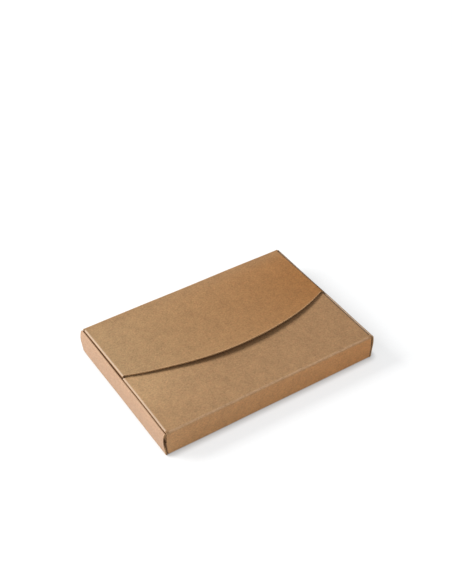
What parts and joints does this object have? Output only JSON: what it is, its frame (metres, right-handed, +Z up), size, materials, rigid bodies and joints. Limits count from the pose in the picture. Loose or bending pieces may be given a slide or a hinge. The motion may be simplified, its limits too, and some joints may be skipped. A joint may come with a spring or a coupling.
{
  "type": "corrugated mailer box",
  "caption": "Flat mailer box folded from one sheet of micro-flute board, with rolled end walls and a closing flap with a curved edge.",
  "frame": {"origin": "middle of the face that the box stands on", "axes": "+X along the front, +Y from the front wall to the back wall, +Z upwards"},
  "size_m": [0.3246, 0.22, 0.0455],
  "materials": {
    "kraft_board": "matte unbleached kraft liner",
    "kraft_flap": "matte unbleached kraft liner"
  },
  "bodies": {
    "box": {"tray": "kraft_board"},
    "flap": {"closing_flap": "kraft_flap"}
  },
  "joints": [
    {"name": "flap_crease", "type": "hinge", "parent": "box", "child": "flap", "pos_m": [0, 0.11, 0.0404], "axis": [-1, 0, 0], "range_deg": [0, 180]}
  ]
}
